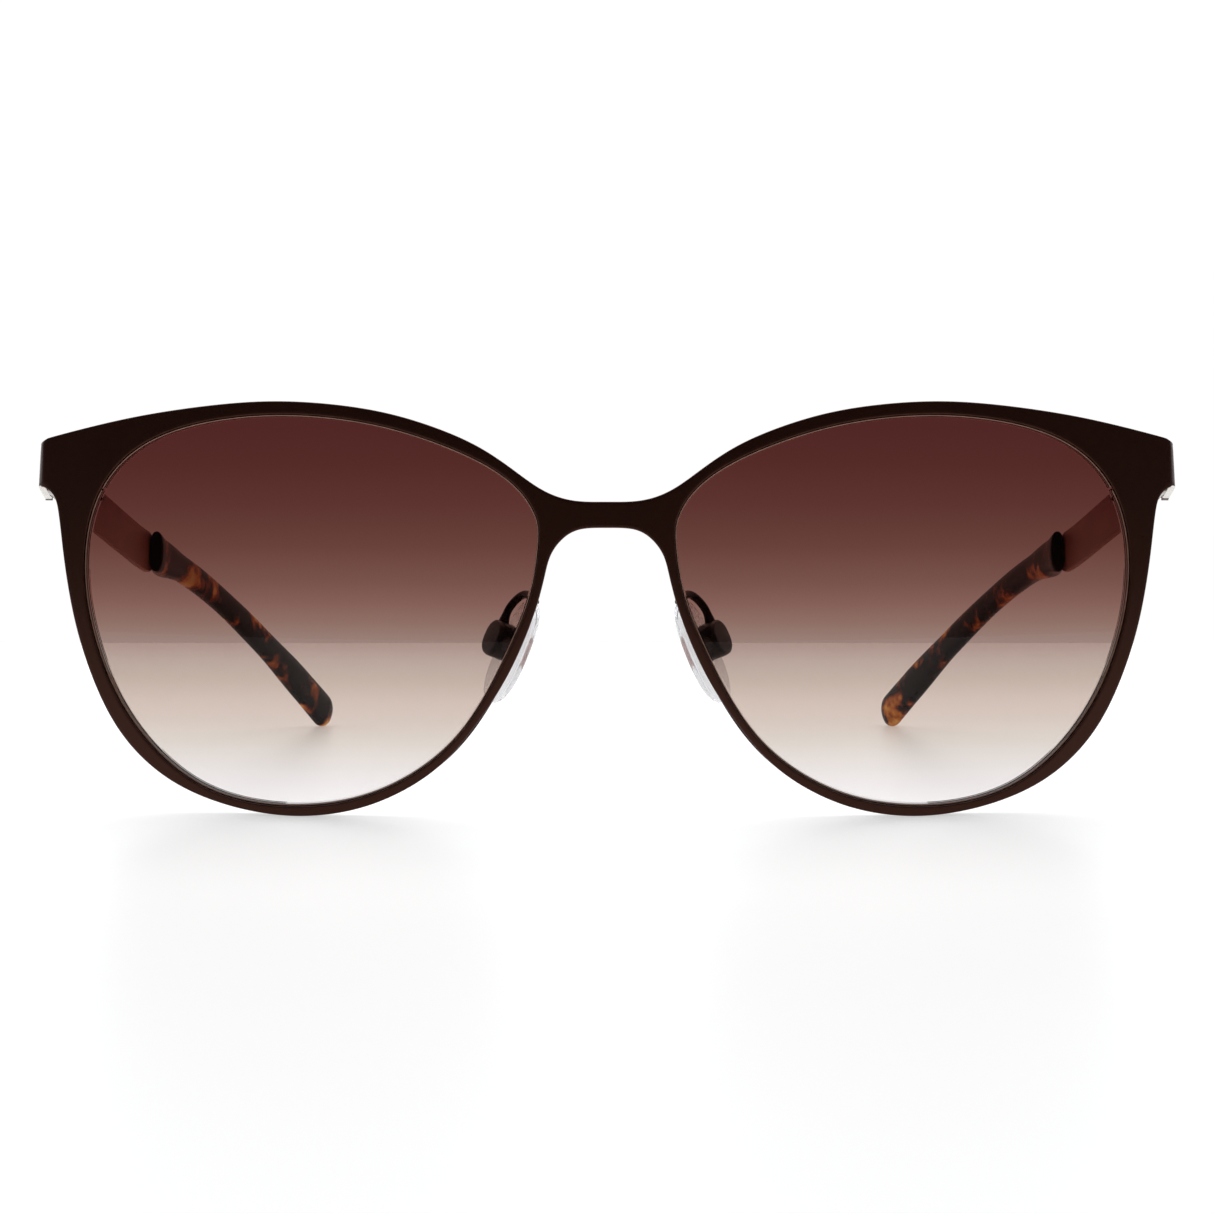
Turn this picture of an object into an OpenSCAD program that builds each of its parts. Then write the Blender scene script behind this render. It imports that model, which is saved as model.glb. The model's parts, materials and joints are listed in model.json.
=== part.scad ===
// Cat eye sunglasses: a thin metal front, gradient lenses, metal temples with acetate tips.
// +Z is up, the front faces -Y, and the temples run back along +Y.
// The origin is at the middle of the bounding box's base, on the surface the glasses rest on.

/* [Front] */
// Thickness of the sheet metal front
plate_t = 0.9; // [0.7:0.1:1.2]
// Radius of the sphere that the front and the lenses are curved to
wrap_r = 260; // [220:10:340]
// Depth of the eyewire behind the sheet metal
eyewire_d = 2.2; // [2.0:0.1:2.6]
// Width of the eyewire that shows inside the opening
lip_w = 0.22; // [0.15:0.01:0.3]

/* [Lenses] */
// Thickness of a lens
lens_t = 1.9; // [1.7:0.1:2.0]
// Thickness of the tongue around the lens that sits in the eyewire's groove
tongue_t = 0.9; // [0.7:0.1:1.0]

/* [Hinges] */
// Outside radius of the hinge knuckles
knuckle_r = 1.35; // [1.2:0.05:1.4]
// Radius of the hinge screw's shaft
hinge_screw_r = 0.68; // [0.6:0.02:0.7]
// Radial clearance of a screw in its hole
screw_gap = 0.04; // [0.03:0.01:0.06]

/* [Temples] */
// Thickness of the metal temple bar
bar_t = 0.9; // [0.8:0.1:1.0]
// Height of the temple bar along its straight part
bar_h = 6.4; // [5.8:0.1:6.6]
// Greatest thickness of the acetate tip
tip_t = 3.5; // [3.3:0.1:3.9]

/* [Nose pads] */
// Length of a pad
pad_l = 13.6; // [12:0.2:15]
// Width of a pad
pad_w = 7.4; // [6.5:0.1:8]
// Thickness of a pad's crown
pad_t = 2.0; // [1.6:0.1:2.4]
// Radius of the pad arm's wire
wire_r = 0.5; // [0.45:0.01:0.55]

/* [Hidden] */

// Half the depth of the whole object, from the front's nearest point to the tips' ends
half_depth = 72.35;
// Height of the wrap sphere's centre
wrap_z = 25;
// Steps along each stretch of a curve
curve_steps = 5;
// Circle resolution for turned parts
$fn = 48;

// Upper edge of the front, from the middle of the bridge out to the endpiece, as X and Z
brow = [[0, 38.3], [4, 38.45], [7.7, 39.7], [11.2, 42.1], [14.9, 44.6], [19.5, 46.8], [26, 48.9],
  [33.2, 50.15], [40.7, 50.6], [48.2, 50.2], [55.8, 49.25], [62.5, 48], [68.6, 46.6]];
// Rounded end of the endpiece, from its top corner to its bottom corner
endpiece = [[69.6, 46.25], [70.2, 45.8], [70.4, 45.1], [70.55, 43], [70.7, 40.6]];
// Lower edge, from the notch under the endpiece around the rim to the middle of the bridge
rim = [[70.4, 40.35], [69.2, 39.8], [68.4, 38.7], [68, 37], [67.7, 34.8], [67.3, 31.6], [66.6, 27.2],
  [65.3, 21.6], [62.9, 15], [59.4, 9.1], [54.3, 4.5], [48.4, 1.75], [42.6, 0.37], [36.9, 0.02],
  [30.9, 0.87], [25.2, 3.05], [20, 6.6], [15.9, 11.3], [12.5, 16.4], [10.1, 21.3], [8.5, 25.6],
  [7.5, 29.3], [6.6, 32.2], [4.6, 34.4], [2.3, 35.1], [0, 35.15]];
// Lens opening of one side, going round from its nasal edge
opening = [[8.2, 33], [8.5, 36.5], [10.6, 39.8], [14.6, 42.8], [20.2, 45.35], [26.7, 47.4],
  [33.8, 48.65], [41, 49], [48, 48.4], [54.3, 46.8], [59.3, 43.9], [62.7, 39.6],
  [64.4, 34], [64.5, 27.5], [63.1, 20.8], [60.3, 14.1], [55.8, 8], [50, 3.6], [43.5, 1.55],
  [37, 1.2], [30.5, 2.2], [24.4, 4.75], [19, 8.9], [14.8, 14.6], [11.6, 20.9], [9.2, 27]];

// Width of the eyewire outside the opening, and of the groove in it
eyewire_w = 1.05;
groove_w = 0.45;
// Width of the lens's tongue outside the opening, and the lens's clearance inside the eyewire
tongue_w = 0.38;
lens_gap = 0.04;
// Clearance around the tongue in the groove
groove_gap = 0.03;
// Layer of solder between the front and the eyewire
solder_gap = 0.06;
// How far the eyewire's lip comes forward inside the front's opening
lip_d = 0.5;
// Split of the eyewire, on the temporal side under the endpiece, with a lug on each side of it
split_z = 40.2;
split_x = 63.5;
split_gap = 0.3;
lug_w = 2.2;
lug_h = 1.5;
// Place of the closing screw, through both lugs
lug_x = split_x + 2.2;
lug_y = 11.6;
closing_r = 0.6;

// Hinge axis, on the line of the temple bar
hinge_x = 68.1;
hinge_y = 15.5;
hinge_z = 41.35;
// Slope of the temple below the horizontal, in degrees
droop = 9;
// Inner face of the temple bar and of the endpiece's return, from the hinge axis
leaf_x = 1.6;
leaf_t = 0.6;
// Free space between parts that turn past each other
turn_gap = 0.1;
knuckle_mid = 2.1;
hinge_h = 5;

// Where the bar starts to bend in towards the head, and how strongly
bend_start = 52;
bend_div = 345;
// Where the tip starts to turn down behind the ear, and how strongly
drop_start = 70;
drop_k = 0.0049;
// Distance along the temple where the acetate tip starts, and where its round end is centred
tip_start = 60;
tip_end = 130.8;
// Shift of the tip towards the head at stations along the temple: it starts beside the bar and closes round it
tip_shift = [[tip_start, 1.5], [67, 0.6]];
// Core of the bar inside the tip
core_end = 118;
core_gap = 0.05;

// Middle of a pad's back, and its frontal and splay angles
pad_at = [12.1, 9.2, 20];
pad_frontal = -23.3;
pad_splay = -27;
// The insert's lug and the box it turns in, in the pad's own axes
lug_z = 0.8;
lug_r = 0.8;
pad_pivot_x = 1.8;
box_r = 2.3;
box_x0 = 0.9;
box_x1 = 3.1;
box_wall = 0.4;
box_hollow_r = 1.5;
// Screw through the box and the lug, and its head on a flat cut into the box
pad_screw_r = 0.5;
pad_screw_l = 2.2;
pad_head_r = 0.8;
pad_head_y = [-2.6, -2.15];
// Route of a pad arm, from the back of the eyewire to the pad box
arm_route = [[8.6, 3.1, 26.2], [8.9, 4.3, 26.5], [9.5, 6.4, 26.9], [10.4, 8.1, 26.9],
  [11.5, 8.8, 26], [12.3, 8.6, 24.8], [12.8, 8.3, 23.3]];

// Colours
brown = [0.12, 0.07, 0.06];
lip_brown = [0.42, 0.28, 0.22];
tint = [0.45, 0.28, 0.25, 0.75];
steel = [0.75, 0.75, 0.76];
tortoise = [0.35, 0.15, 0.06];
clear = [0.9, 0.92, 0.95, 0.6];
bar_brown = [0.32, 0.17, 0.13];

// --- Curves ---------------------------------------------------------------------------

// Control points of the uniform cubic curve that passes through p, found by repeated correction
function pull_open(c, p, n) = n == 0 ? c : pull_open([for (i = [0:len(p) - 1])
  i == 0 || i == len(p) - 1 ? p[i] : c[i] + p[i] - (c[i - 1] + 4 * c[i] + c[i + 1]) / 6], p, n - 1);
function pull_ring(c, p, n) = n == 0 ? c : pull_ring([for (i = [0:len(p) - 1])
  c[i] + p[i] - (at(c, i - 1) + 4 * c[i] + at(c, i + 1)) / 6], p, n - 1);
function at(c, i) = c[(i + len(c)) % len(c)];
// A point of one cubic stretch between b and c
function cubic(a, b, c, d, t) = (pow(1 - t, 3) * a + (3 * pow(t, 3) - 6 * t * t + 4) * b
  + (-3 * pow(t, 3) + 3 * t * t + 3 * t + 1) * c + pow(t, 3) * d) / 6;
// Smooth open curve through p, ends included
function open_curve(p) = let (c = pull_open(p, p, 24), n = len(p),
  e = concat([2 * c[0] - c[1]], c, [2 * c[n - 1] - c[n - 2]]))
  concat([for (i = [0:n - 2]) for (s = [0:curve_steps - 1])
    cubic(e[i], e[i + 1], e[i + 2], e[i + 3], s / curve_steps)], [p[n - 1]]);
// Smooth closed curve through p
function ring_curve(p) = let (c = pull_ring(p, p, 24))
  [for (i = [0:len(p) - 1]) for (s = [0:curve_steps - 1])
    cubic(at(c, i - 1), at(c, i), at(c, i + 1), at(c, i + 2), s / curve_steps)];
function unit(v) = v / norm(v);
// A closed outline moved outwards by d, each point along its own normal
function grow(o, d) = [for (i = [0:len(o) - 1]) let (v = unit(at(o, i + 1) - at(o, i - 1)))
  o[i] + d * [-v.y, v.x]];
function flip(p) = [for (i = [len(p) - 1:-1:0]) [-p[i].x, p[i].y]];
function reverse(p) = [for (i = [len(p) - 1:-1:0]) p[i]];
function tail(p) = [for (i = [1:len(p) - 1]) p[i]];

// Mirrored outline of the whole front
brow_line = open_curve(concat(flip(tail(brow)), brow));
rim_line = open_curve(concat(rim, tail(reverse([for (q = rim) [-q.x, q.y]]))));
front_outline = concat(brow_line, endpiece, rim_line, flip(endpiece));
opening_line = ring_curve(opening);

// --- Shared shapes --------------------------------------------------------------------

module place() translate([0, -half_depth, 0]) children();
// Left is -X: a left part is the mirror image of the right one
module left() mirror([1, 0, 0]) children();
// An outline in X and Z, made a block that runs through the whole front along Y
module stand(outline, y0 = -2, y1 = 16) translate([0, y1, 0]) rotate([90, 0, 0])
  linear_extrude(y1 - y0) polygon(outline);
// Curved layer of the front between two depths behind its outer surface
module layer(d0, d1) translate([0, wrap_r, wrap_z]) difference() {
  sphere(r = wrap_r - d0, $fn = 96);
  sphere(r = wrap_r - d1, $fn = 96);
}
// Hinge axes: X across, Y along the temple, Z along the hinge screw
module at_hinge() translate([hinge_x, hinge_y, hinge_z]) rotate([-droop, 0, 0]) children();
function hinge_yz(y, z) = [hinge_y + y * cos(droop) + z * sin(droop),
  hinge_z - y * sin(droop) + z * cos(droop)];
// Pad axes: X from the nose to the lens, Y across the pad, Z along it
module at_pad() translate(pad_at) rotate([0, pad_frontal, 0]) rotate([0, 0, pad_splay]) children();
module along_y(r, y0, y1) translate([0, y0, 0]) rotate([-90, 0, 0]) cylinder(r = r, h = y1 - y0);
module box(a, b) translate(a) cube(b - a);

// Closed skin over rings of the same number of points
module skin(rings) {
  m = len(rings[0]);
  n = len(rings);
  points = [for (r = rings) for (q = r) q];
  sides = [for (i = [0:n - 2]) for (j = [0:m - 1]) let (k = (j + 1) % m)
    each [[i * m + j, i * m + k, (i + 1) * m + k], [i * m + j, (i + 1) * m + k, (i + 1) * m + j]]];
  caps = [[for (j = [m - 1:-1:0]) j], [for (j = [0:m - 1]) (n - 1) * m + j]];
  polyhedron(points, concat(sides, caps));
}

// --- Front ----------------------------------------------------------------------------

module front_plate() color(brown) place() union() {
  intersection() {
    difference() {
      stand(front_outline);
      stand(opening_line);
      left() stand(opening_line);
    }
    layer(0, plate_t);
  }
  endpiece_return();
  left() endpiece_return();
}
// The part of the endpiece that is folded back to carry the hinge
module endpiece_return() translate([hinge_x + leaf_x, 0, 0]) rotate([90, 0, 90])
  linear_extrude(bar_t) polygon([[10.35, 40.6], [10.5, 45.6],
    hinge_yz(-turn_gap, hinge_h / 2 + 0.2), hinge_yz(-turn_gap, -hinge_h / 2 - 0.2)]);

// Grooved rim behind the plate, split under the endpiece and closed by a screw
module eyewire() place() difference() {
  union() {
    intersection() {
      stand(grow(opening_line, eyewire_w));
      layer(plate_t + solder_gap, plate_t + eyewire_d);
    }
    intersection() {
      stand(grow(opening_line, -solder_gap));
      layer(plate_t - lip_d, plate_t + eyewire_d / 2);
    }
    closing_lugs();
  }
  stand(grow(opening_line, -lip_w));
  intersection() {
    stand(grow(opening_line, groove_w));
    layer(groove_d - groove_gap, groove_d + tongue_t + groove_gap);
  }
  box([split_x - 1, 5, split_z - split_gap / 2], [split_x + 5, 14, split_z + split_gap / 2]);
  translate([lug_x, lug_y, split_z - 5]) cylinder(r = closing_r + screw_gap, h = 10);
}
// Depth of the groove behind the front's outer surface
groove_d = plate_t + (eyewire_d - tongue_t) / 2;
module closing_lugs() box([split_x - 0.8, lug_y - lug_w / 2, split_z - split_gap / 2 - lug_h],
  [lug_x + 1.4, lug_y + lug_w / 2, split_z + split_gap / 2 + lug_h]);
module closing_screw() color(steel) place() difference() {
  translate([lug_x, lug_y, split_z - split_gap / 2 - lug_h]) union() {
    cylinder(r = closing_r, h = 2 * lug_h + split_gap);
    translate([0, 0, -0.6]) cylinder(r = 1.1, h = 0.6);
  }
  box([lug_x - 2, lug_y - 0.15, split_z - lug_h - 1], [lug_x + 2, lug_y + 0.15, split_z - lug_h - 0.5]);
}
module eyewire_left() color(lip_brown) left() eyewire();
module eyewire_right() color(lip_brown) eyewire();
module closing_screw_left() left() closing_screw();
module closing_screw_right() closing_screw();

// --- Lenses ---------------------------------------------------------------------------

module lens() color(tint) place() union() {
  intersection() {
    stand(grow(opening_line, -lip_w - lens_gap));
    layer(lens_d, lens_d + lens_t);
  }
  intersection() {
    stand(grow(opening_line, tongue_w));
    layer(groove_d, groove_d + tongue_t);
  }
}
// Depth of the lens behind the front's outer surface
lens_d = groove_d + (tongue_t - lens_t) / 2;
module lens_left() left() lens();
module lens_right() lens();

// --- Nose pads ------------------------------------------------------------------------

// Rings of a wire of radius r along a smooth route
function wire_rings(route, r, sides) = let (q = open_curve(route), n = len(q))
  [for (i = [0:n - 1]) let (t = unit(q[min(i + 1, n - 1)] - q[max(i - 1, 0)]),
      u = unit(cross(t, [0.9, -0.1, -0.4])), v = cross(t, u))
    [for (j = [0:sides - 1]) q[i] + r * (cos(360 * j / sides) * u + sin(360 * j / sides) * v)]];
module pad_arm() color(brown) place() skin(wire_rings(arm_route, wire_r, 10));
// Cup that holds the pad's lug, open towards the pad, with a cross hole for the screw
module pad_box() color(brown) place() at_pad() translate([0, 0, lug_z]) difference() {
  translate([box_x0, 0, 0]) rotate([0, 90, 0]) cylinder(r = box_r, h = box_x1 - box_x0);
  translate([box_x0 - 1, 0, 0]) rotate([0, 90, 0])
    cylinder(r = box_hollow_r, h = box_x1 - box_wall - box_x0 + 1);
  translate([pad_pivot_x, 0, 0]) along_y(pad_screw_r + screw_gap, -3, 3);
  translate([pad_pivot_x, 0, 0]) along_y(pad_head_r + 2 * screw_gap, -3, pad_head_y[1] + screw_gap);
}
module pad_screw() color(steel) place() at_pad() translate([pad_pivot_x, 0, lug_z]) difference() {
  union() {
    along_y(pad_screw_r, -pad_screw_l, pad_screw_l);
    along_y(pad_head_r, pad_head_y[0], pad_head_y[1]);
  }
  box([-1, pad_head_y[0] - 1, -0.12], [1, pad_head_y[0] + 0.2, 0.12]);
}
// Hard core of the pad: a round plate let into its back, and the lug that turns on the screw
module pad_insert() color(clear) place() at_pad() translate([0, 0, lug_z]) difference() {
  union() {
    translate([-0.5, 0, 0]) rotate([0, 90, 0]) cylinder(r = 1.6, h = 0.5);
    box([-0.1, -0.5, -lug_r], [pad_pivot_x, 0.5, lug_r]);
    translate([pad_pivot_x, 0, 0]) along_y(lug_r, -0.5, 0.5);
  }
  translate([pad_pivot_x, 0, 0]) along_y(pad_screw_r + screw_gap, -1, 1);
}
// Half outline of the soft pad at height h from -1 to 1, as its half width
function pad_half(h) = pad_w / 2 * pow(max(0, 1 - pow(abs(h), 2.6)), 0.5) * (1 - 0.1 * h);
module nose_pad() color(clear) place() at_pad() difference() {
  skin([for (i = [0:16]) let (a = -88 + 11 * i, h = sin(a), w = pad_half(h), d = pow(cos(a), 0.5))
    [for (j = [0:15]) let (b = 360 * j / 16)
      [cos(b) > 0 ? 0.12 * d * cos(b) : pad_t * d * cos(b), w * sin(b), pad_l / 2 * h]]]);
  translate([-0.52, 0, lug_z]) rotate([0, 90, 0]) cylinder(r = 1.63, h = 2);
}
module pad_arm_left() left() pad_arm();
module pad_arm_right() pad_arm();
module pad_box_left() left() pad_box();
module pad_box_right() pad_box();
module pad_screw_left() left() pad_screw();
module pad_screw_right() pad_screw();
module pad_insert_left() left() pad_insert();
module pad_insert_right() pad_insert();
module nose_pad_left() left() nose_pad();
module nose_pad_right() nose_pad();

// --- Hinges ---------------------------------------------------------------------------

// Two knuckles and a leaf on the inner face of the endpiece's return
module front_hinge() color(steel) place() at_hinge() difference() {
  union() {
    for (z = [-hinge_h / 2, knuckle_mid / 2 + turn_gap]) translate([0, 0, z]) {
      cylinder(r = knuckle_r, h = hinge_h / 2 - knuckle_mid / 2 - turn_gap);
      box([0, -knuckle_r, 0], [leaf_x, -0.35, hinge_h / 2 - knuckle_mid / 2 - turn_gap]);
    }
    box([leaf_x - leaf_t, -4.2, -hinge_h / 2], [leaf_x, -knuckle_r - 0.1, hinge_h / 2]);
    for (z = [-hinge_h / 2, knuckle_mid / 2 + turn_gap])
      box([leaf_x - leaf_t, -2, z], [leaf_x, -0.35, z + hinge_h / 2 - knuckle_mid / 2 - turn_gap]);
  }
  translate([0, 0, -3]) cylinder(r = hinge_screw_r + screw_gap, h = 6);
}
// Middle knuckle and a leaf on the inner face of the temple bar
module temple_hinge() color(steel) place() at_hinge() difference() {
  union() {
    translate([0, 0, -knuckle_mid / 2]) cylinder(r = knuckle_r, h = knuckle_mid);
    box([0, 0.35, -knuckle_mid / 2], [leaf_x, knuckle_r, knuckle_mid / 2]);
    box([leaf_x - leaf_t, 0.6, -knuckle_mid / 2], [leaf_x, 2.5, knuckle_mid / 2]);
    box([leaf_x - leaf_t, 1.7, -2.1], [leaf_x, 6.5, 2.1]);
  }
  translate([0, 0, -3]) cylinder(r = hinge_screw_r + screw_gap, h = 6);
}
module hinge_screw() color(steel) place() at_hinge() difference() {
  union() {
    translate([0, 0, -hinge_h / 2]) cylinder(r = hinge_screw_r, h = hinge_h);
    translate([0, 0, hinge_h / 2]) cylinder(r = 1.15, h = 0.5);
  }
  box([-2, -0.15, hinge_h / 2 + 0.25], [2, 0.15, hinge_h / 2 + 1]);
}
module front_hinge_left() left() front_hinge();
module front_hinge_right() front_hinge();
module hinge_screw_left() left() hinge_screw();
module hinge_screw_right() hinge_screw();
module temple_hinge_left() left() temple_hinge();
module temple_hinge_right() temple_hinge();

// --- Temples --------------------------------------------------------------------------

// Centre line of the temple at distance s behind the hinge, in the hinge's axes
function path(s) = [leaf_x + bar_t / 2 - pow(max(0, s - bend_start), 2) / bend_div, s,
  -drop_k * pow(max(0, s - drop_start), 2)];
// Value at s on a table of stations and values, joined by eased steps
function eased(t, s, i = 0) = i >= len(t) - 1 ? t[len(t) - 1][1] : s <= t[0][0] ? t[0][1]
  : s <= t[i + 1][0] ? let (k = (s - t[i][0]) / (t[i + 1][0] - t[i][0]))
    t[i][1] + (t[i + 1][1] - t[i][1]) * k * k * (3 - 2 * k) : eased(t, s, i + 1);
// Directions across the temple at s: sideways and upwards
function way(s) = unit(path(s + 0.1) - path(s - 0.1));
function side(s) = unit(cross(way(s), [0, 0, 1]));
function up(s) = cross(side(s), way(s));
// Ring of the temple at s: half thickness a, half height b, corner power e, shift o along the way
function ring(s, a, b, e, m, o = 0) = [for (j = [0:m - 1])
  let (g = 360 * (j + 0.5) / m, x = sign(cos(g)) * pow(abs(cos(g)), e),
    y = sign(sin(g)) * pow(abs(sin(g)), e))
  path(s) + way(s) * o + side(s) * (a * x - eased(tip_shift, s)) + up(s) * b * y];
// Height of the bar, from the hinge to the start of the tip
bar_table = [[0, 5.3], [22, bar_h], [tip_start, bar_h - 0.2]];
// Height and thickness of the tip: it narrows behind the bar and widens to the paddle
tip_height = [[tip_start, 6.2], [66, 5.8], [78, 4.5], [94, 4.8], [110, 5.3], [124, 6.1], [tip_end, 6.1]];
tip_thick = [[tip_start, 2.1], [67, tip_t], [78, 3.1], [96, 2.9], [124, 2.9], [tip_end, 2.8]];
core_table = [[tip_start, 3.2], [core_end, 1.8]];
bar_stations = [turn_gap, 11, 22, 36, bend_start, 56, tip_start];
core_stations = [for (s = [tip_start:4.5:core_end]) s];
tip_stations = [for (s = [tip_start + 0.4:2.6:tip_end]) s];

// A flat bar with a thinner core behind it
module temple_bar() color(bar_brown) place() at_hinge() union() {
  skin([for (s = bar_stations) flat_ring(s, eased(bar_table, s) / 2, 0)]);
  skin([for (s = core_stations) flat_ring(s, eased(core_table, s) / 2, 0)]);
}
// Ring of four corners: half height b and extra half thickness g
function flat_ring(s, b, g) = [for (c = [[-1, -1], [1, -1], [1, 1], [-1, 1]])
  path(s) + side(s) * c.x * (bar_t / 2 + g) + up(s) * c.y * (b + g)];

// Acetate tip: oval front face, paddle end, and a slot inside for the core
module temple_tip() color(tortoise) place() at_hinge() difference() {
  skin(concat(
    [ring(tip_start, tip_thickness(tip_start) / 2 - 0.3, 2.85, 0.85, 16),
      for (s = tip_stations) ring(s, tip_thickness(s) / 2, eased(tip_height, s) / 2, 0.85, 16)],
    [for (a = [15:15:75]) ring(tip_end, cos(a) * 1.4, cos(a) * 3.05, 0.85, 16, 3 * sin(a))]));
  skin([for (s = concat([tip_start - 0.5], tail(core_stations), [core_end + 1]))
    flat_ring(s, eased(core_table, s) / 2, core_gap)]);
}
function tip_thickness(s) = eased(tip_thick, s);
module temple_bar_left() left() temple_bar();
module temple_bar_right() temple_bar();
module temple_tip_left() left() temple_tip();
module temple_tip_right() temple_tip();

// --- The assembly ---------------------------------------------------------------------

front_plate();
eyewire_left();
eyewire_right();
closing_screw_left();
closing_screw_right();
lens_left();
lens_right();
pad_arm_left();
pad_arm_right();
pad_box_left();
pad_box_right();
pad_screw_left();
pad_screw_right();
pad_insert_left();
pad_insert_right();
nose_pad_left();
nose_pad_right();
front_hinge_left();
front_hinge_right();
hinge_screw_left();
hinge_screw_right();
temple_hinge_left();
temple_hinge_right();
temple_bar_left();
temple_bar_right();
temple_tip_left();
temple_tip_right();
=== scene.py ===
"""Looks of the cat eye sunglasses: fine meshes, materials, studio and camera around the CAD model."""
import json
import math

import bmesh
import bpy
import numpy as np
from mathutils.geometry import delaunay_2d_cdt
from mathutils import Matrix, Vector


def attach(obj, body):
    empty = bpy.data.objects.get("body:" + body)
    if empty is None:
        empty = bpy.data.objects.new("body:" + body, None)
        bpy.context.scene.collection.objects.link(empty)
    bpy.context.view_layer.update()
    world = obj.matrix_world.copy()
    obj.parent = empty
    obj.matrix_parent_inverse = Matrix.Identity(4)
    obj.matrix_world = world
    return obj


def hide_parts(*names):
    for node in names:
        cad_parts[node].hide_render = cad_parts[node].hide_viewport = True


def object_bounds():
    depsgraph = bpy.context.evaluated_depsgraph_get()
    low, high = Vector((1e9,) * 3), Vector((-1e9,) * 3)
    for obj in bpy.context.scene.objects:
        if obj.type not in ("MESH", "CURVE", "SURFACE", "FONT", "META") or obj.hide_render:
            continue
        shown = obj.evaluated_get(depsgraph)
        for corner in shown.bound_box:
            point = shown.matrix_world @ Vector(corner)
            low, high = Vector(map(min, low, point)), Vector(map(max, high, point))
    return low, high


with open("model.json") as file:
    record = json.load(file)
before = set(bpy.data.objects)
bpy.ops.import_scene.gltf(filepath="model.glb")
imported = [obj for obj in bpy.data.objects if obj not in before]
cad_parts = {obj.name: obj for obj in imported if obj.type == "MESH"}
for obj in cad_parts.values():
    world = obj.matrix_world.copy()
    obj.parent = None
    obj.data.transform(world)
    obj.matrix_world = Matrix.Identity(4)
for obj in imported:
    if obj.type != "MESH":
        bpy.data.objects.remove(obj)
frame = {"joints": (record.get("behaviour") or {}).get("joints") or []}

CAD_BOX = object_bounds()
MM = 0.001
SIDES = (("left", -1), ("right", 1))
JOINTS = {joint["name"]: joint for joint in frame["joints"]}

# --- Sizes, in millimetres, mostly those of the CAD model ----------------------------------

WRAP_R = 260        # sphere that the front is curved to
WRAP_Z = 25         # height of that sphere's centre
PLATE_T = 0.9
PLATE_BEVEL = 0.14
EYEWIRE_D = 2.2     # depth of the eyewire behind the plate
EYEWIRE_W = 1.05    # its width outside the opening
LIP_W = 0.22        # its width inside the opening
LIP_D = 0.5         # how far its lip comes forward
SOLDER = 0.06       # gap between plate and eyewire
LENS_T = 1.9
TONGUE_T = 0.9
TONGUE_W = 0.38
GROOVE_D = PLATE_T + (EYEWIRE_D - TONGUE_T) / 2
LENS_D = GROOVE_D + (TONGUE_T - LENS_T) / 2
SPLIT_Z = 40.2      # split of the eyewire, on the temporal side
SPLIT_GAP = 0.3
SPLIT_SIDE = 50     # the split is farther out than this
LUG_W = 2.2
LUG_H = 1.5
LUG_AT = (65.7, 11.6)
LUG_IN = 62.7       # X where the lugs start, in the eyewire
LUG_OUT = 1.4       # how far they reach past the closing screw
HINGE_Y = 15.5      # from the front's nearest point back to the hinge
LEAF_X = 1.6        # from the hinge axis out to the bar's inner face
LEAF_T = 0.6
BAR_T = 0.9
HINGE_H = 5
KNUCKLE_R = 1.35
KNUCKLE_MID = 2.1
TURN_GAP = 0.1
FOLD_X = 69.8       # where the endpiece starts to fold back
FOLD_R = 1.1        # outer radius of that fold
BLEND_X = 65        # where the front's inner face starts to follow the fold
BLEND_L = 4
FLARE = 0.05        # slope by which the folded ends lean out
FLARE_L = 1.6
FLARE_Z = 44        # height about which they lean
BARE_TOP = 41       # the folded ends' lower edge is bare metal below this height
BARE_X = (70.3, 74.5)   # and between these widths of the flat pattern
TIP_START = 60      # along the temple, behind the hinge
TIP_END = 130.8
TIP_SHIFT = [(60, 1.5), (67, 0.6)]   # station, and the tip's shift towards the head there
TIP_ROUND = 3       # length of its rounded end
LEAN_START = 52     # from here the temple leans towards the head
LEAN = 345          # square of the length from there, over the distance that it has leant
DROP_START = 70     # from here it bends down
DROP = 0.0049       # distance that it has bent, over the square of the length from there
CORE_H = 3.2        # height of the bar's core where it enters the tip
CORE_END = 118
CORE_END_H = 1.8
PAD_L = 13.6
PAD_W = 7.4
PAD_T = 2.0
PAD_BACK = 0.06     # bulge of the pad's back, as a share of its crown
PAD_FULL = 2.6      # how full its outline is: 2 is an ellipse
PAD_TAPER = 0.1     # how much narrower its upper end is
PAD_FRONTAL = math.radians(-23.3)
PAD_PIVOT = (1.8, 0, 0.8)   # the pad screw's middle, from the middle of the pad's back
BOX_R = 2.3
BOX_HOLLOW_R = 1.5
MOUTH_R = 1.16      # half the length of the box's oval mouth
MOUTH_SHAPE = 0.6   # its width over its length
WIRE_R = 0.5

BROW = [[0, 38.3], [4, 38.45], [7.7, 39.7], [11.2, 42.1], [14.9, 44.6], [19.5, 46.8], [26, 48.9],
        [33.2, 50.15], [40.7, 50.6], [48.2, 50.2], [55.8, 49.25], [62.5, 48], [68.6, 46.6]]
RIM = [[69.2, 39.8], [68.4, 38.7], [68, 37], [67.7, 34.8], [67.3, 31.6], [66.6, 27.2], [65.3, 21.6],
       [62.9, 15], [59.4, 9.1], [54.3, 4.5], [48.4, 1.75], [42.6, 0.37], [36.9, 0.02], [30.9, 0.87],
       [25.2, 3.05], [20, 6.6], [15.9, 11.3], [12.5, 16.4], [10.1, 21.3], [8.5, 25.6],
       [7.5, 29.3], [6.6, 32.2], [4.6, 34.4], [2.3, 35.1], [0, 35.15]]
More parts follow.
